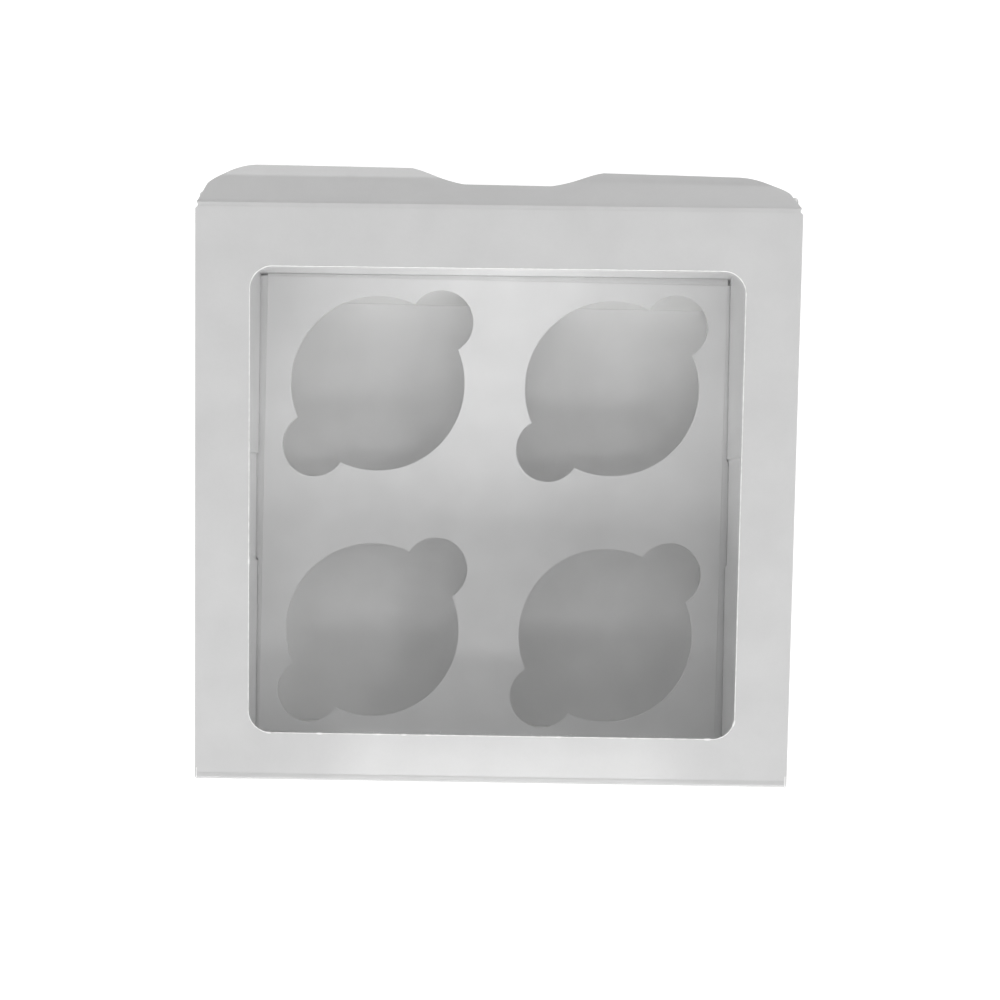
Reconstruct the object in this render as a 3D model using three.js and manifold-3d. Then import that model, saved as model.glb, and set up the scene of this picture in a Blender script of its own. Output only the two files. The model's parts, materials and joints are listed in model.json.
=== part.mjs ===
// Window cupcake box: one folded card blank with a hinged window lid, and a drop-in insert for four cupcakes.
// Millimetres, +Z up. The origin is the centre of the base's underside, and the lid hinges at the back (-Y).
import * as THREE from "three";
import { mergeVertices } from "three/addons/utils/BufferGeometryUtils.js";
import Module from "manifold-3d";

const wasm = await Module();
wasm.setup();

// Carton, outside sizes
const boxWidth = 160;
const boxDepth = 158;
const boxHeight = 90;
const cardThickness = 0.6;
const foldRadius = 0.9; // outside of a creased fold

// Corner flaps glued to the inside of the side walls, two on each side
const glueFlapTopLength = 66; // along the side wall, at the upper edge
const glueFlapFootLength = 59; // the same at the lower edge
const glueFlapRimDrop = 4; // below the wall's rim
const glueFlapFootRise = 1.5; // above the base's underside
const glueFlapCorner = 6; // radius of the free end's corners

// Lid
const seatGap = 0.3; // running clearance between pieces that move or lie on each other
const hingeBeadRadius = 0.8; // the rounded crease along the lid's back edge
const hingeInset = 0.3; // crease inside the back wall's outer face
const hingeSlit = 0.6; // slot between the crease and the back wall's rim
const hingeNotch = 2.2; // length of the relief slits at both ends of the hinge
const lidSideInset = 0.3; // lid inside the side walls' outer faces
const creaseSetback = 4.9; // front crease inside the front wall's outer face
const lidCornerChamfer = 0.9;
const windowSideMargin = 14.4;
const windowFrontMargin = 16.2;
const windowHingeMargin = 12;
const windowCorner = 6;

// Window film
const filmThickness = 0.2;
const filmLap = 5; // glued border under the card

// Tuck flap
const flapDepth = 16;
const flapEndInset = 1; // flap inside the lid's side edge, at the crease
const flapSideTaper = 2; // how far the sides lean in before the shoulder
const flapSideLength = 7; // straight length of the sides
const flapShoulder = 9.5; // width of the rounded shoulder
const flapBendLine = 12.5; // soft second bend, measured from the crease
const flapDroop = 34.5; // mean angle below level, in degrees
const flapTwist = 3.5; // extra droop at the right end, less at the left
const flapCurl = 10; // how far the strip past the bend line rises again
const dipTopWidth = 54;
const dipFlatWidth = 22;
const dipDepth = 6.3;

// Insert
const insertTop = 29; // upper face above the base's underside
const insertSideGap = 0.4; // from its corners to the glued corner flaps
const insertEndGap = 0.4; // from its corners to the front and back walls
const insertTurn = 0.6; // it lies a little askew, clockwise seen from above, in degrees
const insertCornerRelief = 2.6; // open corners between its legs
const holeRadius = 29.2;
const holeSpreadX = 0.5; // hole centres outside the middle of their quarter
const holeSpreadY = 2.8;
const earRadius = 10.7;
const earReach = 29.6; // from the hole's centre to the ear's
const earAngle = 45; // to the right and front, and to the left and back

const foldSteps = 2; // facets of a fold
const beadSteps = 16;
const holeSteps = 72;
const earSteps = 36;
const windowSteps = 8; // facets of a window corner
const over = 5; // how far cutting tools run past what they cut
const halfWidth = boxWidth / 2;
const halfDepth = boxDepth / 2;
const radians = THREE.MathUtils.degToRad;

const boxCard = new THREE.MeshStandardMaterial({ name: "coated_card", color: 0xdcdcdb, roughness: 0.4 });
const insertCard = new THREE.MeshStandardMaterial({ name: "insert_card", color: 0xdedede, roughness: 0.5 });
const clearFilm = new THREE.MeshStandardMaterial({
  name: "clear_film",
  color: 0xffffff,
  roughness: 0.08,
  transparent: true,
  opacity: 0.15,
});

// A closed geometry as a solid that can be joined and cut.
function toSolid(geometry) {
  const bare = geometry.clone();
  bare.deleteAttribute("normal");
  bare.deleteAttribute("uv");
  const merged = mergeVertices(bare, 1e-4);
  return new wasm.Manifold(
    new wasm.Mesh({
      numProp: 3,
      vertProperties: merged.attributes.position.array,
      triVerts: new Uint32Array(merged.index.array),
    }),
  );
}

function toGeometry(solid) {
  const { vertProperties, triVerts } = solid.getMesh();
  const geometry = new THREE.BufferGeometry();
  geometry.setAttribute("position", new THREE.BufferAttribute(vertProperties, 3));
  geometry.setIndex(new THREE.BufferAttribute(triVerts, 1));
  geometry.computeVertexNormals();
  return geometry;
}

function join(...pieces) {
  return toGeometry(pieces.map(toSolid).reduce((a, b) => a.add(b)));
}

function cut(body, ...tools) {
  return toGeometry(tools.map(toSolid).reduce((a, b) => a.subtract(b), toSolid(body)));
}

function block(low, high) {
  const size = new THREE.Vector3().subVectors(high, low);
  const centre = new THREE.Vector3().addVectors(low, high).multiplyScalar(0.5);
  return new THREE.BoxGeometry(size.x, size.y, size.z).translate(centre.x, centre.y, centre.z);
}

function roundedRectangle(width, depth, radius) {
  const x = width / 2;
  const y = depth / 2;
  const shape = new THREE.Shape();
  shape.moveTo(-x + radius, -y);
  shape.lineTo(x - radius, -y);
  shape.absarc(x - radius, -y + radius, radius, -Math.PI / 2, 0, false);
  shape.lineTo(x, y - radius);
  shape.absarc(x - radius, y - radius, radius, 0, Math.PI / 2, false);
  shape.lineTo(-x + radius, y);
  shape.absarc(-x + radius, y - radius, radius, Math.PI / 2, Math.PI, false);
  shape.lineTo(-x, -y + radius);
  shape.absarc(-x + radius, -y + radius, radius, Math.PI, 1.5 * Math.PI, false);
  return shape;
}

// A block whose upright and lower edges are rounded as creased card is, standing on z = 0.
function creasedBlock(width, depth, height, radius) {
  const bevel = radius * 0.8; // a little under the upright edges' radius, so that no corner shrinks to a point
  const geometry = new THREE.ExtrudeGeometry(roundedRectangle(width, depth, radius), {
    depth: height - bevel,
    curveSegments: foldSteps,
    bevelThickness: bevel,
    bevelSize: bevel,
    bevelOffset: -bevel,
    bevelSegments: foldSteps,
  });
  return geometry.translate(0, 0, bevel);
}

// Card folded up on all four sides of a panel.
function foldedTray(width, depth, height) {
  const inner = creasedBlock(
    width - 2 * cardThickness,
    depth - 2 * cardThickness,
    height + over,
    foldRadius - cardThickness,
  ).translate(0, 0, cardThickness);
  const above = block(
    new THREE.Vector3(-width, -depth, height),
    new THREE.Vector3(width, depth, height + 2 * over),
  );
  return cut(creasedBlock(width, depth, height, foldRadius), inner, above);
}

// One corner flap on the inside of the right wall, running forward from the back wall.
function glueFlap() {
  const back = -halfDepth + cardThickness / 2;
  const low = glueFlapFootRise;
  const high = boxHeight - glueFlapRimDrop;
  const lowEnd = -halfDepth + glueFlapFootLength;
  const highEnd = -halfDepth + glueFlapTopLength;
  const outline = new THREE.Shape();
  outline.moveTo(back, low);
  outline.lineTo(lowEnd - glueFlapCorner, low);
  outline.quadraticCurveTo(lowEnd, low, lowEnd, low + glueFlapCorner);
  outline.lineTo(highEnd, high - glueFlapCorner);
  outline.quadraticCurveTo(highEnd, high, highEnd - glueFlapCorner, high);
  outline.lineTo(back, high);
  const inWall = cardThickness / 2;
  const geometry = new THREE.ExtrudeGeometry(outline, {
    depth: cardThickness + inWall,
    bevelEnabled: false,
    curveSegments: 4,
  });
  // the outline's axes become Y and Z, and the thickness runs along X
  geometry.rotateX(Math.PI / 2).rotateZ(Math.PI / 2);
  return geometry.translate(halfWidth - 2 * cardThickness, 0, 0);
}

const hingeY = -halfDepth + hingeInset + hingeBeadRadius;
const hingeZ = boxHeight + seatGap + cardThickness - hingeBeadRadius;

function boxBody() {
  const backRight = glueFlap();
  const frontLeft = backRight.clone().rotateZ(Math.PI);
  const flaps = [backRight, frontLeft, mirrored(backRight), mirrored(frontLeft)];
  const hingeRoom = block(
    new THREE.Vector3(-halfWidth + cardThickness, -boxDepth, hingeZ - hingeBeadRadius - hingeSlit),
    new THREE.Vector3(halfWidth - cardThickness, hingeY, boxHeight + over),
  );
  return cut(join(foldedTray(boxWidth, boxDepth, boxHeight), ...flaps), hingeRoom);
}

// The left-hand twin of a piece: X changes sign, and each triangle is turned round to face out again.
function mirrored(geometry) {
  const twin = geometry.index ? geometry.toNonIndexed() : geometry.clone();
  const position = twin.getAttribute("position");
  for (let i = 0; i < position.count; i += 3) {
    const corners = [i, i + 2, i + 1].map((k) => new THREE.Vector3().fromBufferAttribute(position, k));
    corners.forEach((c, k) => position.setXYZ(i + k, -c.x, c.y, c.z));
  }
  return twin;
}

const lidLength = halfDepth - creaseSetback - hingeY; // hinge axis to front crease
const lidWidth = boxWidth - 2 * lidSideInset;
const lidTop = hingeBeadRadius; // the lid's own frame has its origin on the hinge axis
const lidUnderside = lidTop - cardThickness;
const lidFrontEdge = lidLength - cardThickness / 2 - seatGap;
const windowWidth = lidWidth - 2 * windowSideMargin;
const windowLength = lidLength - windowFrontMargin - windowHingeMargin;
const windowCentreY = windowHingeMargin + windowLength / 2;

function lidPanel() {
  const beadHalf = halfWidth - cardThickness - seatGap;
  const side = lidWidth / 2;
  const outline = new THREE.Shape();
  outline.moveTo(-beadHalf, 0);
  outline.lineTo(beadHalf, 0);
  outline.lineTo(beadHalf, hingeNotch);
  outline.lineTo(side, hingeNotch);
  outline.lineTo(side, lidFrontEdge - lidCornerChamfer);
  outline.lineTo(side - lidCornerChamfer, lidFrontEdge);
  outline.lineTo(-side + lidCornerChamfer, lidFrontEdge);
  outline.lineTo(-side, lidFrontEdge - lidCornerChamfer);
  outline.lineTo(-side, hingeNotch);
  outline.lineTo(-beadHalf, hingeNotch);
  const panel = new THREE.ExtrudeGeometry(outline, { depth: cardThickness, bevelEnabled: false });
  panel.translate(0, 0, lidUnderside);
  const opening = new THREE.ExtrudeGeometry(roundedRectangle(windowWidth, windowLength, windowCorner), {
    depth: cardThickness + 2 * over,
    bevelEnabled: false,
    curveSegments: windowSteps,
  });
  opening.translate(0, windowCentreY, lidUnderside - over);
  const bead = new THREE.CylinderGeometry(hingeBeadRadius, hingeBeadRadius, 2 * beadHalf, beadSteps);
  bead.rotateZ(Math.PI / 2);
  return cut(join(panel, bead), opening);
}

function windowFilm() {
  const outline = roundedRectangle(windowWidth + 2 * filmLap, windowLength + 2 * filmLap, filmLap);
  const sheet = new THREE.ExtrudeGeometry(outline, {
    depth: filmThickness,
    bevelEnabled: false,
    curveSegments: foldSteps,
  });
  return sheet.translate(0, windowCentreY, lidUnderside - seatGap - filmThickness);
}

const flapHalf = lidWidth / 2 - flapEndInset;

// Distance from the crease to the flap's free edge at a place across its width.
function flapReach(x) {
  const fromEnd = flapHalf - Math.abs(x);
  const side = flapSideLength * Math.min(fromEnd / flapSideTaper, 1);
  const across = THREE.MathUtils.clamp((fromEnd - flapSideTaper) / flapShoulder, 0, 1);
  const shoulder = (flapDepth - flapSideLength) * Math.sqrt(1 - (1 - across) ** 2);
  const slope = (dipTopWidth - dipFlatWidth) / 2;
  const dip = THREE.MathUtils.clamp((dipTopWidth / 2 - Math.abs(x)) / slope, 0, 1);
  const softened = dip * dip * (3 - 2 * dip);
  return side + shoulder - dipDepth * (0.5 * dip + 0.5 * softened);
}

// Places across the flap where its outline turns, close together on the shoulders and the dip's slopes.
function flapColumns() {
  const columns = [0.001, flapSideTaper / 2, flapSideTaper];
  for (let step = 1; step <= 8; step++) {
    columns.push(flapSideTaper + flapShoulder * (1 - Math.cos((step / 8) * (Math.PI / 2))));
  }
  const shoulderEnd = flapSideTaper + flapShoulder;
  const dipStart = flapHalf - dipTopWidth / 2;
  const dipFlat = flapHalf - dipFlatWidth / 2;
  for (let step = 1; step <= 3; step++) {
    columns.push(shoulderEnd + ((dipStart - shoulderEnd) * step) / 3);
  }
  for (let step = 1; step <= 6; step++) {
    columns.push(dipStart + ((dipFlat - dipStart) * step) / 6);
  }
  const right = columns.map((fromEnd) => flapHalf - fromEnd);
  return [...right.map((x) => -x), ...right.reverse()];
}

// The flap's section at a place across it: a thin strip with a round root on the crease and a soft second bend.
function flapSection(x) {
  const droop = radians(flapTwist) * (x / flapHalf);
  const reach = Math.max(flapReach(x), cardThickness);
  const half = cardThickness / 2;
  const upper = [];
  const lower = [];
  for (const share of [0, 0.25, 0.5, flapBendLine / flapDepth, 0.9, 1]) {
    const along = reach * share;
    const past = Math.max(along - flapBendLine, 0);
    const angle = droop - (past > 0 ? radians(flapCurl) : 0);
    const before = along - past;
    const y = before * Math.cos(droop) + past * Math.cos(angle);
    const z = -before * Math.sin(droop) - past * Math.sin(angle);
    upper.push([y + half * Math.sin(angle), z + half * Math.cos(angle)]);
    lower.push([y - half * Math.sin(angle), z - half * Math.cos(angle)]);
  }
  const root = [];
  for (let step = 1; step < 5; step++) {
    const turn = (Math.PI * step) / 5 + Math.PI / 2 - droop;
    root.push([half * Math.cos(turn), half * Math.sin(turn)]);
  }
  return [...upper.reverse(), ...root, ...lower];
}

// A closed skin over sections that stand at rising x, with both ends capped.
function loft(places, sections) {
  const ring = sections[0].length;
  const position = [];
  const index = [];
  sections.forEach((section, s) => section.forEach(([y, z]) => position.push(places[s], y, z)));
  for (let s = 0; s < sections.length - 1; s++) {
    for (let k = 0; k < ring; k++) {
      const next = (k + 1) % ring;
      const [a, b] = [s * ring + k, s * ring + next];
      const [c, d] = [a + ring, b + ring];
      index.push(a, b, c, b, d, c);
    }
  }
  // each end is closed by a strip between the section's upper and lower sides
  const last = (sections.length - 1) * ring;
  for (let k = 0; k < ring / 2 - 1; k++) {
    const [a, b, c, d] = [k, k + 1, ring - 2 - k, ring - 1 - k];
    index.push(a, c, b, a, d, c);
    index.push(last + a, last + b, last + c, last + a, last + c, last + d);
  }
  const geometry = new THREE.BufferGeometry();
  geometry.setAttribute("position", new THREE.Float32BufferAttribute(position, 3));
  geometry.setIndex(index);
  geometry.computeVertexNormals();
  return geometry;
}

function tuckFlap() {
  const places = flapColumns();
  return loft(places, places.map(flapSection));
}

function upright(radius, steps, x, y) {
  const tool = new THREE.CylinderGeometry(radius, radius, 2 * insertTop, steps);
  return tool.rotateX(Math.PI / 2).translate(x, y, insertTop);
}

// The turned insert's corners just clear the corner flaps and the walls.
const roomX = halfWidth - 2 * cardThickness - insertSideGap;
const roomY = halfDepth - cardThickness - insertEndGap;
const turnCos = Math.cos(radians(insertTurn));
const turnSin = Math.sin(radians(insertTurn));
const insertWidth = (2 * (roomX * turnCos - roomY * turnSin)) / (turnCos ** 2 - turnSin ** 2);
const insertDepth = (2 * (roomY * turnCos - roomX * turnSin)) / (turnCos ** 2 - turnSin ** 2);

// One cupcake hole with its two finger ears, as cutting tools.
function holeTools(x, y) {
  const reachX = earReach * Math.cos(radians(earAngle));
  const reachY = earReach * Math.sin(radians(earAngle));
  return [
    upright(holeRadius, holeSteps, x, y),
    upright(earRadius, earSteps, x + reachX, y + reachY),
    upright(earRadius, earSteps, x - reachX, y - reachY),
  ];
}

function insert() {
  const legs = insertTop - cardThickness;
  const tray = foldedTray(insertWidth, insertDepth, legs);
  tray.rotateX(Math.PI).translate(0, 0, insertTop);
  const holeX = insertWidth / 4 + holeSpreadX;
  const holeY = insertDepth / 4 + holeSpreadY;
  const tools = [];
  for (const sideX of [-1, 1]) {
    for (const sideY of [-1, 1]) {
      tools.push(...holeTools(sideX * holeX, sideY * holeY));
      const corner = new THREE.Vector3((sideX * insertWidth) / 2, (sideY * insertDepth) / 2, 0);
      const reach = insertCornerRelief;
      const top = insertTop - cardThickness - foldRadius;
      tools.push(
        block(
          new THREE.Vector3(corner.x - reach, corner.y - reach, -over),
          new THREE.Vector3(corner.x + reach, corner.y + reach, top),
        ),
      );
    }
  }
  return cut(tray, ...tools).rotateZ(-radians(insertTurn));
}

// The lid rests ajar: the tuck flap's steep end lies on the front wall's rim. The line of the flap's underside
// passes over the rim's outer edge, which gives the lid's angle.
const steepDroop = radians(flapDroop + flapTwist);
const creaseHeight = lidTop - cardThickness / 2; // above the hinge axis, in the lid's frame
const rimSide =
  boxHeight - hingeZ + (halfDepth - hingeY) * Math.tan(steepDroop) +
  (cardThickness / 2 + seatGap) / Math.cos(steepDroop);
const lidAngle =
  Math.asin((rimSide * Math.cos(steepDroop)) / Math.hypot(lidLength, creaseHeight)) -
  steepDroop -
  Math.atan2(creaseHeight, lidLength);

function named(name, geometry, material) {
  const mesh = new THREE.Mesh(geometry, material);
  mesh.name = name;
  return mesh;
}

const box = new THREE.Group();
box.add(named("box_body", boxBody(), boxCard));
box.add(named("insert", insert(), insertCard));

const lid = new THREE.Group();
lid.position.set(0, hingeY, hingeZ);
lid.rotation.x = lidAngle;
lid.add(named("lid_panel", lidPanel(), boxCard));
lid.add(named("window_film", windowFilm(), clearFilm));
box.add(lid);

const flap = new THREE.Group();
flap.position.set(0, lidLength, creaseHeight);
flap.rotation.x = -radians(flapDroop) - lidAngle;
flap.add(named("tuck_flap", tuckFlap(), boxCard));
lid.add(flap);

export default box;
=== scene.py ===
import json
import math

import bpy
from mathutils import Matrix, Vector


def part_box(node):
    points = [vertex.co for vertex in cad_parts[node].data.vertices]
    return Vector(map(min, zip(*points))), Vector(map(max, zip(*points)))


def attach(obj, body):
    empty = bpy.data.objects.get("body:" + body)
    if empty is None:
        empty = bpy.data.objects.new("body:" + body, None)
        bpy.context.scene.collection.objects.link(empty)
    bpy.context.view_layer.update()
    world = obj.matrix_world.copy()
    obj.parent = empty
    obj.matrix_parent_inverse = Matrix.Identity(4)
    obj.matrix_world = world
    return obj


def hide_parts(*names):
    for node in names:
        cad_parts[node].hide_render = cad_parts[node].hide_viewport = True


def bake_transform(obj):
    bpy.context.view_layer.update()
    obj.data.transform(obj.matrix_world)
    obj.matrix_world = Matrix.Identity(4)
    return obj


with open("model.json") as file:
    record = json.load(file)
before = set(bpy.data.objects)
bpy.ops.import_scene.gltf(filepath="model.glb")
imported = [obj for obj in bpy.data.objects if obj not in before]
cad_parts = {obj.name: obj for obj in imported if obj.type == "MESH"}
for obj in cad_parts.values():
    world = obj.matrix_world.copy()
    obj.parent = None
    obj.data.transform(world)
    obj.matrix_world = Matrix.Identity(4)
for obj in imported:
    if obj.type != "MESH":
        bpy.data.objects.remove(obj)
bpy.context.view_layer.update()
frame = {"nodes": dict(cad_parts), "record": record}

mm = 0.001
joints = {joint["name"]: joint for joint in frame["record"]["behaviour"]["joints"]}
hingeAxis = Vector(joints["lid_hinge"]["pos_m"])
creaseAxis = Vector(joints["flap_crease"]["pos_m"])
boxLow, boxHigh = (Vector(corner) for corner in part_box("box_body"))

# the card that everything is folded from
board = {"thickness": 0.6 * mm, "lidTop": 0.8 * mm}  # lidTop: the lid's upper face above the hinge line
creaseHeight = board["lidTop"] - board["thickness"] / 2
creaseReach = creaseAxis - hingeAxis
lidSlope = math.atan2(creaseReach.z, creaseReach.y) - math.asin(creaseHeight / creaseReach.length)
lidPlace = Matrix.Translation(hingeAxis) @ Matrix.Rotation(lidSlope, 4, "X")
lidLength = math.sqrt(creaseReach.length ** 2 - creaseHeight ** 2)
print("frame loaded, the lid stands", round(math.degrees(lidSlope), 2), "degrees ajar")


# scene-linear red, green, blue and alpha of a colour written as on a screen
def linearColour(hexText):
    parts = [int(hexText[i:i + 2], 16) / 255 for i in (1, 3, 5)]
    return [p / 12.92 if p <= 0.04045 else ((p + 0.055) / 1.055) ** 2.4 for p in parts] + [1.0]


# adds one node; inputs holds values or other nodes' sockets, settings its properties
def addNode(tree, kind, inputs=None, **settings):
    node = tree.nodes.new(kind)
    for key, value in settings.items():
        setattr(node, key, value)
    for key, value in (inputs or {}).items():
        if isinstance(value, bpy.types.NodeSocket):
            tree.links.new(value, node.inputs[key])
        else:
            node.inputs[key].default_value = value
    return node


# a material with an empty node tree
def blankMaterial(name):
    material = bpy.data.materials.new(name)
    material.use_nodes = True
    material.node_tree.nodes.clear()
    return material, material.node_tree


def giveMaterial(piece, material):
    piece.data.materials.clear()
    piece.data.materials.append(material)


def linkPiece(name, mesh):
    piece = bpy.data.objects.new(name, mesh)
    bpy.context.scene.collection.objects.link(piece)
    return piece


# a sheet of quads over rows of points, all rows equally long
def sheetMesh(name, rows):
    width = len(rows[0])
    points = [point for row in rows for point in row]
    faces = []
    for r in range(len(rows) - 1):
        for c in range(width - 1):
            a = r * width + c
            faces.append((a, a + 1, a + width + 1, a + width))
    mesh = bpy.data.meshes.new(name)
    mesh.from_pydata(points, [], faces)
    return mesh


# smooth shading, with a hard edge wherever the surface turns by more than the given angle
def smoothTo(piece, degrees):
    piece.data.shade_smooth()
    piece.data.set_sharp_from_angle(angle=math.radians(degrees))


# keeps what the modifiers make as the piece's own mesh
def applyModifiers(piece):
    evaluated = piece.evaluated_get(bpy.context.evaluated_depsgraph_get())
    finished = bpy.data.meshes.new_from_object(evaluated)
    piece.modifiers.clear()
    piece.data = finished


# a noise texture stays mostly between low and high, and hardly ever leaves the wide pair
noiseSpan = {"low": 0.3, "high": 0.7, "wideLow": 0.25, "wideHigh": 0.75}

# Clay-coated folding boxboard: a calendered white coat over pulp. Outside the eye gets a satin sheen and
# soft cloudy waves, on the back a dull white, and a pale fuzzy line where a die has cut it. Its two tones
# are
# painted light: the outside coat a mid grey, the back near white as if lit by bounce light within the box.
boardLook = {
    # coat and back are one white card: the coat painted a mid grey as shade, the back near white as painted
    # bounce light
    "coat": "#CACACA", "back": "#F0F0F0", "cut": "#F4F4F3",
    "coatRoughness": 0.5, "backRoughness": 0.7, "cutRoughness": 0.8, "smoother": 0.04, "rougher": 0.05,
    "coatWeight": 0.55, "coatGloss": 0.15, "specular": 0.3,
    "seeThrough": 0.35, "scatter": 0.5 * mm,  # thin white board lets some light through
    "fibre": 0.9 * mm, "fibreDepth": 0.012 * mm,  # real fibres are finer: drawn as coarse as shows
    "fibreStrength": 0.6, "fibreDetail": 5.0, "fibreRoughness": 0.65, "speck": 0.01,
    "mottle": 14 * mm, "mottleDepth": 0.05, "mottleDetail": 3.0,
    "wave": 38 * mm, "waveDepth": 0.25 * mm, "waveDetail": 1.0,
    "underSlope": -0.35, "cutSlope": 0.3,  # a normal's rise that still counts as underside or as cut face
}


# 1 within the carton's walls, so that the back of the card, painted lighter as bounce light, starts at the
# middle of each wall
def insideMask(tree, coordinates):
    wall = board["thickness"] * 0.5
    parts = addNode(tree, "ShaderNodeSeparateXYZ", {"Vector": coordinates})
    across = addNode(tree, "ShaderNodeMath", {0: parts.outputs["X"]}, operation="ABSOLUTE")
    inX = addNode(tree, "ShaderNodeMath", {0: across.outputs[0], 1: boxHigh.x - wall},
                  operation="LESS_THAN")
    along = addNode(tree, "ShaderNodeMath", {0: parts.outputs["Y"]}, operation="ABSOLUTE")
    inY = addNode(tree, "ShaderNodeMath", {0: along.outputs[0], 1: boxHigh.y - wall},
                  operation="LESS_THAN")
    inZ = addNode(tree, "ShaderNodeMath", {0: parts.outputs["Z"], 1: wall}, operation="GREATER_THAN")
    both = addNode(tree, "ShaderNodeMath", {0: inX.outputs[0], 1: inY.outputs[0]}, operation="MULTIPLY")
    inside = addNode(tree, "ShaderNodeMath", {0: both.outputs[0], 1: inZ.outputs[0]}, operation="MULTIPLY")
    return inside.outputs[0]


# the underside of a flat panel shows the card's back, in its tone painted lighter as bounce light
def undersideMask(tree, normal, slope):
    parts = addNode(tree, "ShaderNodeSeparateXYZ", {"Vector": normal})
    under = addNode(tree, "ShaderNodeMath", {0: parts.outputs["Z"], 1: slope}, operation="LESS_THAN")
    return under.outputs[0]


# the thin faces left by the die stand upright
def cutMask(tree, normal, slope):
    parts = addNode(tree, "ShaderNodeSeparateXYZ", {"Vector": normal})
    level = addNode(tree, "ShaderNodeMath", {0: parts.outputs["Z"]}, operation="ABSOLUTE")
    upright = addNode(tree, "ShaderNodeMath", {0: level.outputs[0], 1: slope}, operation="LESS_THAN")
    return upright.outputs[0]


# a cloud of noise over the part, with its cells at the given size
def noiseField(tree, place, size, detail, roughness=0.5):
    return addNode(tree, "ShaderNodeTexNoise", {
        "Vector": place, "Scale": 1 / size, "Detail": detail, "Roughness": roughness}).outputs["Fac"]


def boardMaterial(name, look, back=None, cut=False):
    material, tree = blankMaterial(name)
    places = addNode(tree, "ShaderNodeTexCoord")
    place, normal = places.outputs["Object"], places.outputs["Normal"]
    mottle = noiseField(tree, place, look["mottle"], look["mottleDetail"])
    fibre = noiseField(tree, place, look["fibre"], look["fibreDetail"], look["fibreRoughness"])
    wave = noiseField(tree, place, look["wave"], look["waveDetail"])
    face = linearColour(look["coat"])
    # the coat's sheen wanders a little, as the calender left it
    rough = addNode(tree, "ShaderNodeMapRange", {
        "Value": mottle, "From Min": noiseSpan["low"], "From Max": noiseSpan["high"],
        "To Min": look["coatRoughness"] - look["smoother"],
        "To Max": look["coatRoughness"] + look["rougher"]}).outputs[0]
    if back:
        under = back == "underside"
        mask = undersideMask(tree, normal, look["underSlope"]) if under else insideMask(tree, place)
        face = addNode(tree, "ShaderNodeMix", {0: mask, 6: face, 7: linearColour(look["back"])},
                       data_type="RGBA").outputs[2]
        rough = addNode(tree, "ShaderNodeMix", {0: mask, 2: rough, 3: look["backRoughness"]}).outputs[0]
    if cut:
        edge = cutMask(tree, normal, look["cutSlope"])
        face = addNode(tree, "ShaderNodeMix", {0: edge, 6: face, 7: linearColour(look["cut"])},
                       data_type="RGBA").outputs[2]
        rough = addNode(tree, "ShaderNodeMix", {0: edge, 2: rough, 3: look["cutRoughness"]}).outputs[0]
    # cloudy tone of the pulp, and specks that only show close up
    tone = addNode(tree, "ShaderNodeMapRange", {
        "Value": mottle, "From Min": noiseSpan["low"], "From Max": noiseSpan["high"],
        "To Min": 1 - look["mottleDepth"] / 2, "To Max": 1 + look["mottleDepth"] / 2})
    speck = addNode(tree, "ShaderNodeMapRange", {
        "Value": fibre, "From Min": noiseSpan["wideLow"], "From Max": noiseSpan["wideHigh"],
        "To Min": 1 - look["speck"], "To Max": 1 + look["speck"]})
    shade = addNode(tree, "ShaderNodeMath", {0: tone.outputs[0], 1: speck.outputs[0]}, operation="MULTIPLY")
    toned = addNode(tree, "ShaderNodeMix", {0: 1.0, 6: face, 7: shade.outputs[0]},
                    data_type="RGBA", blend_type="MULTIPLY")
    # slow waves bend the reflections, fibres break them up
    swell = addNode(tree, "ShaderNodeBump", {
        "Height": wave, "Distance": look["waveDepth"], "Strength": 1.0})
    grain = addNode(tree, "ShaderNodeBump", {
        "Height": fibre, "Distance": look["fibreDepth"], "Strength": look["fibreStrength"],
        "Normal": swell.outputs[0]})
    shader = addNode(tree, "ShaderNodeBsdfPrincipled", {
        "Base Color": toned.outputs[2], "Roughness": rough, "Normal": grain.outputs[0], "IOR": 1.5,
        "Specular IOR Level": look["specular"], "Coat Weight": look["coatWeight"],
        "Coat Roughness": look["coatGloss"], "Subsurface Weight": look["seeThrough"],
        "Subsurface Radius": (1, 1, 1), "Subsurface Scale": look["scatter"]})
    addNode(tree, "ShaderNodeOutputMaterial", {"Surface": shader.outputs[0]})
    return material


# Clear PET film, cast and rolled thin. The eye sees it only by its gloss: faint reflections that grow
# strong towards a grazing view, and nothing at all between them.
filmLook = {"tint": "#F6F8F8", "gloss": 0.07, "facing": 0.045, "grazing": 0.9, "slantPower": 5.0}


def filmMaterial(name, look):
    material, tree = blankMaterial(name)
    # each face of the sheet reflects a twentieth head on and nearly all at a grazing angle
    turned = addNode(tree, "ShaderNodeLayerWeight", {"Blend": 0.5})
    slant = addNode(tree, "ShaderNodeMath", {0: turned.outputs["Facing"], 1: look["slantPower"]},
                    operation="POWER")
    mirror = addNode(tree, "ShaderNodeMath", {0: slant.outputs[0], 1: look["grazing"], 2: look["facing"]},
                     operation="MULTIPLY_ADD", use_clamp=True)
    shader = addNode(tree, "ShaderNodeBsdfPrincipled", {
        "Base Color": linearColour(look["tint"]), "Metallic": 1.0, "Roughness": look["gloss"],
        "Alpha": mirror.outputs[0]})
    addNode(tree, "ShaderNodeOutputMaterial", {"Surface": shader.outputs[0]})
    return material


# The box's own card: its outside glossy, everything within the walls in the dull back, painted lighter than
# the outside as bounce light.
boxCard = boardMaterial("coated folding board, satin outside", boardLook, back="inside")
# The lid is the same sheet: satin above, dull below, its underside painted lighter than the top as bounce
# light though a shade darker than the box's inside, pale where the die cut the window.
lidLook = dict(boardLook, back="#DEDEDE")
lidCard = boardMaterial("coated folding board, lid", lidLook, back="underside", cut=True)
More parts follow.
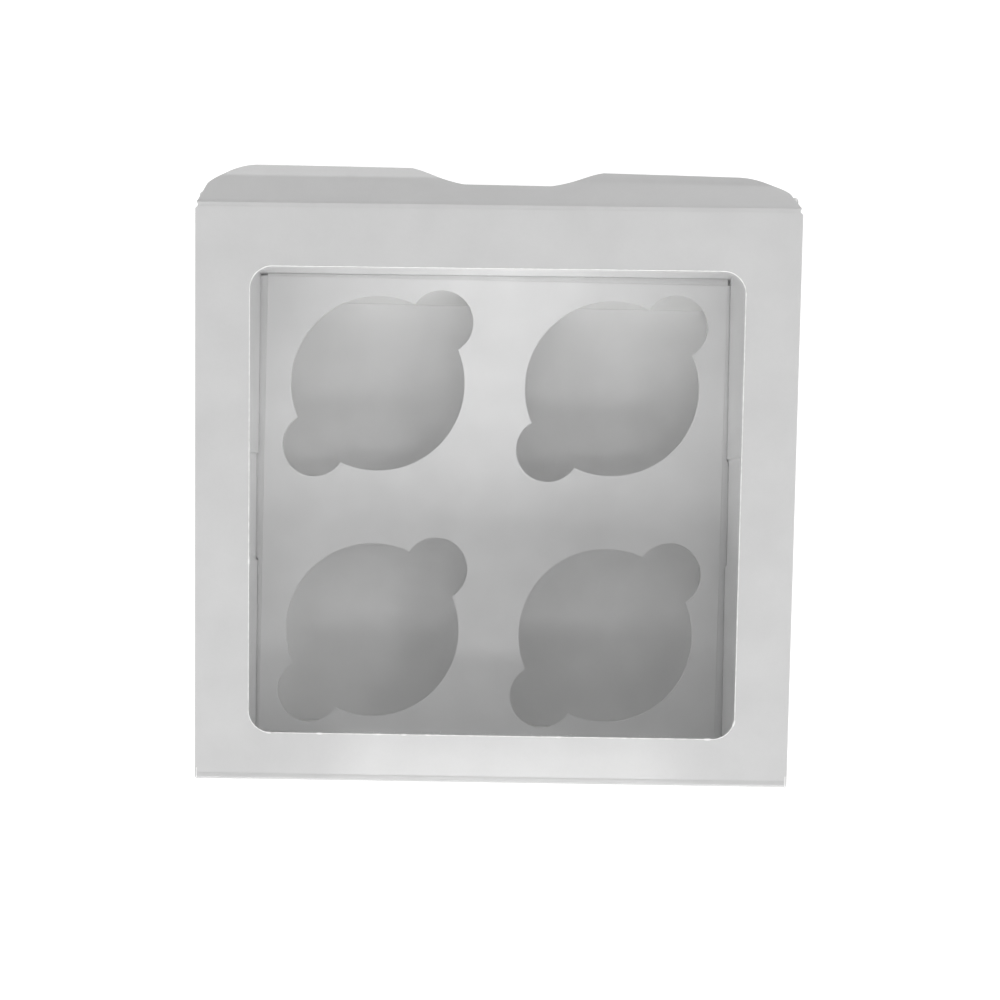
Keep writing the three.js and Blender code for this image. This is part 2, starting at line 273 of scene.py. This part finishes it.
# The insert is nearly without gloss, so the light falls off on it smoothly; its near-white tone, lighter
# than the lid's grey coat, is painted light like the box's inside.
insertLook = dict(boardLook, coat="#EEEEEE", back="#F3F3F3", coatWeight=0.05)
insertCard = boardMaterial("white folding board, insert", insertLook, back="underside", cut=True)
# Torn pulp at the cut: matt and brighter than the coat.
fibreLook = dict(boardLook, coat="#F7F7F6", coatRoughness=0.8, coatWeight=0.0)
cutFibre = boardMaterial("raw cut board edge", fibreLook)
clearFilm = filmMaterial("clear window film", filmLook)
giveMaterial(frame["nodes"]["box_body"], boxCard)
giveMaterial(frame["nodes"]["lid_panel"], lidCard)
giveMaterial(frame["nodes"]["insert"], insertCard)
print("materials made")

# The tuck flap: drooping over the front wall's rim, a little twisted, with a finger dip in its free edge.
# Taper and side make its slanted ends, shoulder and fullness the rounded corners; curl, in degrees, is the
# second bend at the bend line.
flap = {
    "halfWidth": 79.3 * mm, "depth": 15.1 * mm, "depthLost": 0.6 * mm, "taper": 1.4 * mm, "side": 7 * mm,
    "shoulder": 13 * mm, "fullness": 0.65, "bendLine": 11.6 * mm, "bendSoftness": 1.6 * mm, "curl": 12,
    "droopLeft": 31.2, "droopRight": 39.6, "twistPower": 1.6,
    "dipPlace": 2.4 * mm, "dipTop": 52 * mm, "dipFlat": 23 * mm, "dipDepth": 5.9 * mm,
    "least": 0.6 * mm, "columns": 420, "rows": 26, "sharp": 40,
}


def clamp(value):
    return min(max(value, 0.0), 1.0)


# 0 at the flap's left end, 1 at its right end
def flapShare(x):
    return clamp((x / flap["halfWidth"] + 1) / 2)


# how steeply the flap hangs at a place along the crease
def flapDroop(x):
    gained = (flap["droopRight"] - flap["droopLeft"]) * flapShare(x) ** flap["twistPower"]
    return math.radians(flap["droopLeft"] + gained)


# how far the flap goes out from its crease: slanted ends, rounded shoulders, and the finger dip taken off
def flapReach(x):
    fromEnd = flap["halfWidth"] - abs(x)
    side = flap["side"] * min(fromEnd / flap["taper"], 1)
    across = clamp((fromEnd - flap["taper"]) / flap["shoulder"])
    depth = flap["depth"] - flap["depthLost"] * flapShare(x)
    shoulder = (depth - flap["side"]) * math.sin(math.pi / 2 * across) ** flap["fullness"]
    slope = (flap["dipTop"] - flap["dipFlat"]) / 2
    dip = clamp((flap["dipTop"] / 2 - abs(x - flap["dipPlace"])) / slope)
    eased = (dip + dip * dip * (3 - 2 * dip)) / 2  # straight slopes with softened ends
    return max(side + shoulder - flap["dipDepth"] * eased, flap["least"])


# a point of the flap's middle surface, by its place along the crease and its distance from it
def flapPoint(x, along):
    droop = flapDroop(x)
    soft = flap["bendSoftness"]
    start = flap["bendLine"] - soft / 2
    curved = min(max(along - start, 0), soft)
    past = max(along - start - soft, 0)
    curl = math.radians(flap["curl"])
    middle = droop - curl * curved / soft / 2
    before = min(along, start)
    y = before * math.cos(droop) + curved * math.cos(middle) + past * math.cos(droop - curl)
    z = -before * math.sin(droop) - curved * math.sin(middle) - past * math.sin(droop - curl)
    return Vector((x, creaseAxis.y + y, creaseAxis.z + z))


def makeFlap():
    rows = []
    for r in range(flap["rows"] + 1):
        share = r / flap["rows"]
        row = []
        for c in range(flap["columns"] + 1):
            # columns crowd towards both ends, where the outline turns
            x = flap["halfWidth"] * math.sin(math.pi * (c / flap["columns"] - 0.5))
            row.append(flapPoint(x, share * flapReach(x)))
        rows.append(row)
    piece = linkPiece("tuck_flap_card", sheetMesh("tuck_flap_card", rows))
    solidify = piece.modifiers.new("card", "SOLIDIFY")
    solidify.thickness = board["thickness"]
    solidify.offset = 0
    applyModifiers(piece)
    smoothTo(piece, flap["sharp"])
    return piece


flapCard = boardMaterial("coated folding board, flap", lidLook, back="underside")
flapPiece = makeFlap()
giveMaterial(flapPiece, flapCard)
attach(flapPiece, "flap")
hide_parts("tuck_flap")
print("tuck flap made")

# The two creases: thin skins of the same card that close the slots of the moving joints. Lap is how far a
# skin runs onto the card, and sink how deep its end dips into it.
fold = {
    "skin": 0.06 * mm, "lap": 0.9 * mm, "sink": 0.05 * mm, "steps": 10, "sharp": 60,
    "hingeRadius": 0.84 * mm, "wallFoot": 3.4 * mm, "wallTop": 1.6 * mm, "hingeParts": 40,
    "endGap": 0.96 * mm, "hingeStart": 1.4 * mm, "hingeEnd": 1 * mm,
    "creaseRadius": 0.34 * mm, "creaseEndGap": 0.3 * mm, "creaseParts": 60, "creaseBlend": 0.6 * mm,
}


# a thin skin shaped round the joint between two bodies, as it stands at rest
def foldSkin(name, rows):
    piece = linkPiece(name, sheetMesh(name, rows))
    solidify = piece.modifiers.new("skin", "SOLIDIFY")
    solidify.thickness = fold["skin"]
    solidify.offset = 0
    applyModifiers(piece)
    smoothTo(piece, fold["sharp"])
    giveMaterial(piece, flapCard)
    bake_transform(piece)


# up the back wall, round the hinge and onto the lid
def hingeFold():
    wallFace = boxLow.y - fold["skin"] / 2
    profile = [(wallFace, boxHigh.z - fold["wallFoot"]), (wallFace, boxHigh.z - fold["wallTop"])]
    for step in range(fold["steps"] + 1):
        turn = math.radians(180) - (math.radians(90) - lidSlope) * step / fold["steps"]
        profile.append((hingeAxis.y + fold["hingeRadius"] * math.cos(turn),
                        hingeAxis.z + fold["hingeRadius"] * math.sin(turn)))
    last = profile[-1]
    profile.append((last[0] + fold["lap"] * math.cos(lidSlope) + fold["sink"] * math.sin(lidSlope),
                    last[1] + fold["lap"] * math.sin(lidSlope) - fold["sink"] * math.cos(lidSlope)))
    half = boxHigh.x - fold["endGap"]
    across = [half * (2 * c / fold["hingeParts"] - 1) for c in range(fold["hingeParts"] + 1)]
    rows = [[Vector((x, y, z)) for x in across] for y, z in profile]
    foldSkin("hinge_fold", rows)


# from the lid's upper face round the front crease and onto the flap, which hangs steeper towards one end
def creaseFold():
    half = flap["halfWidth"] - fold["creaseEndGap"]
    rows = []
    lidNormal = Vector((0, -math.sin(lidSlope), math.cos(lidSlope)))
    lidAlong = Vector((0, math.cos(lidSlope), math.sin(lidSlope)))
    across = [half * (2 * c / fold["creaseParts"] - 1) for c in range(fold["creaseParts"] + 1)]
    for step in range(fold["steps"] + 3):
        row = []
        for x in across:
            droop = flapDroop(x)
            place = Vector((x, creaseAxis.y, creaseAxis.z))
            if step == 0:
                lapped = lidNormal * (fold["creaseRadius"] - fold["sink"]) - lidAlong * fold["lap"]
                row.append(place + lapped)
                continue
            turn = min(step - 1, fold["steps"]) / fold["steps"]
            angle = math.radians(90) + lidSlope - turn * (lidSlope + droop)
            radial = Vector((0, math.cos(angle), math.sin(angle)))
            spot = place + radial * fold["creaseRadius"]
            if step == fold["steps"] + 2:
                spot += Vector((0, math.cos(droop), -math.sin(droop))) * fold["lap"] - radial * fold["sink"]
            row.append(spot)
        rows.append(row)
    foldSkin("flap_crease_fold", rows)


hingeFold()
creaseFold()
print("creases closed")

# The insert's legs spring out from soft folds and close the gap to the walls. Each strip starts inset from
# the insert's edge and proud of its face, and drops as it nears the wall.
insert = {
    "turn": -0.6, "width": 155.19 * mm, "length": 154.38 * mm, "relief": 0.6 * mm, "inset": 0.4 * mm,
    "drop": 0.7 * mm, "skin": 0.1 * mm, "proud": 0.01 * mm, "wallGap": 0.02 * mm,
    "flapThickness": 0.6 * mm, "flapFree": 17.5 * mm,  # the corner flaps leave the middle of the wall bare
    "steps": 6, "parts": 150, "sharp": 60,
}


def insertFolds():
    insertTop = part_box("insert")[1][2]
    turn = Matrix.Rotation(math.radians(insert["turn"]), 3, "Z")
    spread = board["thickness"] + insert["wallGap"]
    limits = (boxHigh.x - spread, boxHigh.y - spread)
    halves = (insert["width"] / 2, insert["length"] / 2)
    mesh = bpy.data.meshes.new("insert_fold_edges")
    points, faces = [], []
    # right, front, left and back edge in turn
    for side in range(4):
        axis = side % 2
        sign = 1 if side < 2 else -1
        start = len(points)
        half = halves[1 - axis] - insert["relief"]
        for step in range(insert["steps"] + 1):
            bend = math.pi / 2 * step / insert["steps"]
            for part in range(insert["parts"] + 1):
                along = half * (2 * part / insert["parts"] - 1)
                straight = (halves[0] * sign, along, 0) if axis == 0 else (along, halves[1] * sign, 0)
                edge = turn @ Vector(straight)
                covered = axis == 0 and abs(along) > insert["flapFree"]
                limit = limits[axis] - (insert["flapThickness"] if covered else 0)
                edge[axis] -= sign * insert["inset"]
                edge[axis] += (sign * limit - edge[axis]) * math.sin(bend)
                fall = insert["drop"] * (1 - math.cos(bend))
                edge.z = insertTop + insert["proud"] - insert["skin"] / 2 - fall
                points.append(edge)
        width = insert["parts"] + 1
        for step in range(insert["steps"]):
            for part in range(insert["parts"]):
                a = start + step * width + part
                face = (a, a + 1, a + width + 1, a + width)
                faces.append(face if (sign < 0) == (axis == 0) else face[::-1])
    mesh.from_pydata(points, [], faces)
    piece = linkPiece("insert_fold_edges", mesh)
    solidify = piece.modifiers.new("skin", "SOLIDIFY")
    solidify.thickness = insert["skin"]
    solidify.offset = 0
    applyModifiers(piece)
    smoothTo(piece, insert["sharp"])
    giveMaterial(piece, insertCard)
    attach(piece, "box")


insertFolds()
print("insert folds made")

# The window: its die-cut edge, and the film behind it. Side, front and hinge are its margins of card.
window = {"side": 14.4 * mm, "front": 16.2 * mm, "hinge": 12 * mm, "corner": 6 * mm, "lidWidth": 159.4 * mm}
windowWidth = window["lidWidth"] - 2 * window["side"]
windowLength = lidLength - window["front"] - window["hinge"]
windowMiddle = window["hinge"] + windowLength / 2
cutEdge = {
    "radius": 0.13 * mm, "step": 0.5 * mm, "sides": 6, "cornerPoints": 14,
    "roughScale": 900.0, "roughDetail": 2.0, "thin": 0.45, "thick": 1.35,
    "nicks": 11, "nickLength": 1.9 * mm, "nickWidth": 0.5 * mm, "smallNick": 0.5, "largeNick": 1.3,
    "seed": 5, "nickSeed": 11,
}
film = {
    "lap": 5 * mm, "thickness": 0.1 * mm, "gap": 0.05 * mm, "wave": 0.16 * mm, "waveLength": 42 * mm,
    "waveDetail": 2.0, "twist": 0.8, "calmLaps": 4.0, "sag": -1.3, "rise": 0.3,
    "cells": 110, "seed": 3.7, "weld": 1e-6, "sharp": 40,
}


# a Geometry Nodes tree with the named inputs
def newTree(name, inputs):
    tree = bpy.data.node_groups.new(name, "GeometryNodeTree")
    tree.interface.new_socket("Geometry", in_out="OUTPUT", socket_type="NodeSocketGeometry")
    for label, kind in inputs.items():
        tree.interface.new_socket(label, in_out="INPUT", socket_type="NodeSocket" + kind)
    return tree, addNode(tree, "NodeGroupInput")


# every tree ends in real geometry with its material set
def finishTree(tree, geometry):
    whole = addNode(tree, "GeometryNodeRealizeInstances", {"Geometry": geometry})
    given = tree.nodes["Group Input"].outputs["Material"]
    dressed = addNode(tree, "GeometryNodeSetMaterial", {"Geometry": whole.outputs[0], "Material": given})
    addNode(tree, "NodeGroupOutput", {"Geometry": dressed.outputs[0]})


# runs a tree on an empty mesh and keeps the result as a plain mesh at the given place
def growPiece(name, tree, values, place):
    holder = linkPiece(name + "_holder", bpy.data.meshes.new(name))
    modifier = holder.modifiers.new("shape", "NODES")
    modifier.node_group = tree
    for item in tree.interface.items_tree:
        if item.in_out == "INPUT" and item.name in values:
            modifier[item.identifier] = values[item.name]
    evaluated = holder.evaluated_get(bpy.context.evaluated_depsgraph_get())
    mesh = bpy.data.meshes.new_from_object(evaluated)
    bpy.data.objects.remove(holder)
    mesh.transform(place)
    return linkPiece(name, mesh)


# a raised line of fibres that follows the rounded window, with torn nicks where the waste was held
def cutEdgeTree():
    tree, given = newTree("dieCutEdge", {"Width": "Float", "Length": "Float", "Corner": "Float",
                                         "Radius": "Float", "Step": "Float", "Nicks": "Int",
                                         "Nick Length": "Float", "Nick Width": "Float", "Seed": "Int",
                                         "Material": "Material"})
    outline = addNode(tree, "GeometryNodeCurvePrimitiveQuadrilateral", {
        "Width": given.outputs["Width"], "Height": given.outputs["Length"]})
    rounded = addNode(tree, "GeometryNodeFilletCurve", {
        "Curve": outline.outputs[0], "Radius": given.outputs["Corner"], "Count": cutEdge["cornerPoints"]},
        mode="POLY")
    path = addNode(tree, "GeometryNodeResampleCurve", {
        "Curve": rounded.outputs[0], "Length": given.outputs["Step"]}, mode="LENGTH")
    noise = addNode(tree, "ShaderNodeTexNoise", {
        "Scale": cutEdge["roughScale"], "Detail": cutEdge["roughDetail"]})
    swell = addNode(tree, "ShaderNodeMapRange", {
        "Value": noise.outputs["Fac"], "From Min": noiseSpan["low"], "From Max": noiseSpan["high"],
        "To Min": cutEdge["thin"], "To Max": cutEdge["thick"]})
    ring = addNode(tree, "GeometryNodeCurvePrimitiveCircle", {
        "Resolution": cutEdge["sides"], "Radius": given.outputs["Radius"]})
    lip = addNode(tree, "GeometryNodeCurveToMesh", {
        "Curve": path.outputs[0], "Profile Curve": ring.outputs[0], "Scale": swell.outputs[0]})
    # nicks at places drawn at random along the same path
    points = addNode(tree, "GeometryNodePoints", {"Count": given.outputs["Nicks"]})
    where = addNode(tree, "FunctionNodeRandomValue", {"Seed": given.outputs["Seed"]})
    sample = addNode(tree, "GeometryNodeSampleCurve", {
        "Curves": path.outputs[0], "Factor": where.outputs[1]})
    placed = addNode(tree, "GeometryNodeSetPosition", {
        "Geometry": points.outputs[0], "Position": sample.outputs["Position"]})
    heading = addNode(tree, "FunctionNodeAlignRotationToVector", {"Vector": sample.outputs["Tangent"]},
                      axis="X")
    # a ball one unit across, drawn out to each nick's length and width
    nick = addNode(tree, "GeometryNodeMeshIcoSphere", {"Radius": 0.5, "Subdivisions": 2})
    size = addNode(tree, "ShaderNodeCombineXYZ", {
        "X": given.outputs["Nick Length"], "Y": given.outputs["Nick Width"],
        "Z": given.outputs["Nick Width"]})
    vary = addNode(tree, "FunctionNodeRandomValue", {
        2: cutEdge["smallNick"], 3: cutEdge["largeNick"], "Seed": cutEdge["nickSeed"]})
    sized = addNode(tree, "ShaderNodeVectorMath", {0: size.outputs[0], "Scale": vary.outputs[1]},
                    operation="SCALE")
    turned = addNode(tree, "GeometryNodeInstanceOnPoints", {
        "Points": placed.outputs[0], "Instance": nick.outputs[0], "Rotation": heading.outputs[0],
        "Scale": sized.outputs[0]})
    joined = addNode(tree, "GeometryNodeJoinGeometry", {"Geometry": lip.outputs[0]})
    tree.links.new(turned.outputs[0], joined.inputs[0])
    finishTree(tree, joined.outputs[0])
    return tree


# a sheet that lies flat where it is glued and waves softly in the opening
def filmTree():
    tree, given = newTree("wavyFilm", {"Width": "Float", "Length": "Float", "Lap": "Float",
                                       "Thickness": "Float", "Wave": "Float", "Wave Length": "Float",
                                       "Cells": "Int", "Seed": "Float", "Material": "Material"})
    sheet = addNode(tree, "GeometryNodeMeshGrid", {
        "Size X": given.outputs["Width"], "Size Y": given.outputs["Length"],
        "Vertices X": given.outputs["Cells"], "Vertices Y": given.outputs["Cells"]})
    place = addNode(tree, "GeometryNodeInputPosition")
    parts = addNode(tree, "ShaderNodeSeparateXYZ", {"Vector": place.outputs[0]})
    frequency = addNode(tree, "ShaderNodeMath", {0: 1.0, 1: given.outputs["Wave Length"]},
                        operation="DIVIDE")
    noise = addNode(tree, "ShaderNodeTexNoise", {
        "Vector": place.outputs[0], "W": given.outputs["Seed"], "Scale": frequency.outputs[0],
        "Detail": film["waveDetail"], "Distortion": film["twist"]}, noise_dimensions="4D")
    # 0 over the glued border, 1 well inside it, along each axis
    calm = []
    for axis, size in (("X", "Width"), ("Y", "Length")):
        half = addNode(tree, "ShaderNodeMath", {0: given.outputs[size], 1: 0.5}, operation="MULTIPLY")
        reach = addNode(tree, "ShaderNodeMath", {0: parts.outputs[axis]}, operation="ABSOLUTE")
        inner = addNode(tree, "ShaderNodeMath", {0: half.outputs[0], 1: reach.outputs[0]},
                        operation="SUBTRACT")
        wide = addNode(tree, "ShaderNodeMath", {0: given.outputs["Lap"], 1: film["calmLaps"]},
                       operation="MULTIPLY")
        calm.append(addNode(tree, "ShaderNodeMapRange", {
            "Value": inner.outputs[0], "From Min": given.outputs["Lap"], "From Max": wide.outputs[0]},
            interpolation_type="SMOOTHSTEP").outputs[0])
    free = addNode(tree, "ShaderNodeMath", {0: calm[0], 1: calm[1]}, operation="MULTIPLY")
    rise = addNode(tree, "ShaderNodeMapRange", {
        "Value": noise.outputs["Fac"], "From Min": noiseSpan["wideLow"], "From Max": noiseSpan["wideHigh"],
        "To Min": film["sag"], "To Max": film["rise"]}, clamp=False)
    lifted = addNode(tree, "ShaderNodeMath", {0: rise.outputs[0], 1: free.outputs[0]},
                     operation="MULTIPLY")
    height = addNode(tree, "ShaderNodeMath", {0: lifted.outputs[0], 1: given.outputs["Wave"]},
                     operation="MULTIPLY")
    shift = addNode(tree, "ShaderNodeCombineXYZ", {"Z": height.outputs[0]})
    waved = addNode(tree, "GeometryNodeSetPosition", {
        "Geometry": sheet.outputs[0], "Offset": shift.outputs[0]})
    # the same sheet again, turned over and drawn down by the film's thickness, closes it to a solid
    down = addNode(tree, "ShaderNodeMath", {0: given.outputs["Thickness"], 1: -1.0},
                   operation="MULTIPLY")
    fall = addNode(tree, "ShaderNodeCombineXYZ", {"Z": down.outputs[0]})
    flipped = addNode(tree, "GeometryNodeFlipFaces", {"Mesh": waved.outputs[0]})
    lower = addNode(tree, "GeometryNodeExtrudeMesh", {
        "Mesh": flipped.outputs[0], "Offset": fall.outputs[0], "Offset Scale": 1.0, "Individual": False})
    closed = addNode(tree, "GeometryNodeJoinGeometry", {"Geometry": lower.outputs[0]})
    tree.links.new(waved.outputs[0], closed.inputs[0])
    merged = addNode(tree, "GeometryNodeMergeByDistance", {
        "Geometry": closed.outputs[0], "Distance": film["weld"]})
    finishTree(tree, merged.outputs[0])
    return tree


lidSurface = lidPlace @ Matrix.Translation((0, windowMiddle, board["lidTop"]))
edgePiece = growPiece("window_cut_edge", cutEdgeTree(), {
    "Width": windowWidth, "Length": windowLength, "Corner": window["corner"], "Radius": cutEdge["radius"],
    "Step": cutEdge["step"], "Nicks": cutEdge["nicks"], "Nick Length": cutEdge["nickLength"],
    "Nick Width": cutEdge["nickWidth"], "Seed": cutEdge["seed"], "Material": cutFibre}, lidSurface)
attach(edgePiece, "lid")

filmPlace = lidSurface @ Matrix.Translation((0, 0, -board["thickness"] - film["gap"]))
filmPiece = growPiece("window_film_sheet", filmTree(), {
    "Width": windowWidth + 2 * film["lap"], "Length": windowLength + 2 * film["lap"], "Lap": film["lap"],
    "Thickness": film["thickness"], "Wave": film["wave"], "Wave Length": film["waveLength"],
    "Cells": film["cells"], "Seed": film["seed"], "Material": clearFilm}, filmPlace)
smoothTo(filmPiece, film["sharp"])
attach(filmPiece, "lid")
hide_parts("window_film")
print("window edge and film made")

# The studio: a white table, a soft key light from behind the hinge, and large soft fills. Places, targets
# and sizes are in metres, powers in watts.
studio = {"world": 0.39, "floor": "#959595", "floorRoughness": 0.9, "floorGlow": 0.86, "floorSize": 6.0}
boxMiddle = (0, 0, 0.06)
lamps = {
    "key": {"place": (-0.08, -2.03, 1.63), "target": boxMiddle, "size": (3.8, 0.7), "power": 56},
    "rightFill": {"place": (1.5, 0.1, 1.5), "target": boxMiddle, "size": (1.2, 1.2), "power": 9.0},
    "leftFill": {"place": (-1.5, 0.1, 1.3), "target": boxMiddle, "size": (1.2, 1.2), "power": 2.5},
    # lifts the drooping flap, which the key only grazes
    "flapFill": {"place": (-0.3, 1.1, 0.46), "target": (0, 0.08, 0.09), "size": (0.8, 0.3), "power": 2.0},
    # hangs where the coat mirrors it along the lid's hinge side
    "hingeGloss": {"place": (0.02, -0.236, 0.691), "target": (0.02, -0.2359, 0.09),
                   "size": (0.314, 0.058), "power": 0.46},
}


# a rectangular lamp that faces its target
def softBox(name, place, target, size, power):
    light = bpy.data.lights.new(name, "AREA")
    light.shape = "RECTANGLE"
    light.size, light.size_y = size
    light.energy = power
    lamp = linkPiece(name, light)
    lamp.location = place
    lamp.rotation_euler = (Vector(target) - Vector(place)).to_track_quat("-Z", "Y").to_euler()


def makeStudio():
    world = bpy.data.worlds.new("paleStudio")
    bpy.context.scene.world = world
    world.use_nodes = True
    sky = world.node_tree.nodes["Background"]
    sky.inputs["Color"].default_value = (1, 1, 1, 1)
    sky.inputs["Strength"].default_value = studio["world"]
    half = studio["floorSize"] / 2
    corners = [Vector((x, y, 0)) for x, y in ((-half, -half), (half, -half), (half, half), (-half, half))]
    floor = linkPiece("floor", sheetMesh("floor", [corners[:2], [corners[3], corners[2]]]))
    material, tree = blankMaterial("white table, lit")
    shader = addNode(tree, "ShaderNodeBsdfPrincipled", {
        "Base Color": linearColour(studio["floor"]), "Roughness": studio["floorRoughness"],
        "Emission Color": (1, 1, 1, 1), "Emission Strength": studio["floorGlow"]})
    addNode(tree, "ShaderNodeOutputMaterial", {"Surface": shader.outputs[0]})
    giveMaterial(floor, material)
    for name, lamp in lamps.items():
        softBox(name, **lamp)


makeStudio()
print("studio lit")

# The camera hangs close above the box, a little towards the hinge; its turns are in degrees.
view = {"place": (-3.1 * mm, -25.6 * mm, 333.7 * mm), "turn": (-1.0045, 0.3847, 0.8369),
        "lens": 32.56, "sensor": 36, "shift": (0.0250, 0.1015), "nearest": 10 * mm}


def makeCamera():
    data = bpy.data.cameras.new("camera")
    data.lens = view["lens"]
    data.sensor_width = view["sensor"]
    data.shift_x, data.shift_y = view["shift"]
    data.clip_start = view["nearest"]
    camera = linkPiece("camera", data)
    turn = Matrix.Identity(4)
    for angle, axis in zip(view["turn"], "XYZ"):
        turn = turn @ Matrix.Rotation(math.radians(angle), 4, axis)
    camera.matrix_world = Matrix.Translation(view["place"]) @ turn
    bpy.context.scene.camera = camera


makeCamera()
bpy.context.scene.view_settings.view_transform = "Standard"
print("camera set")
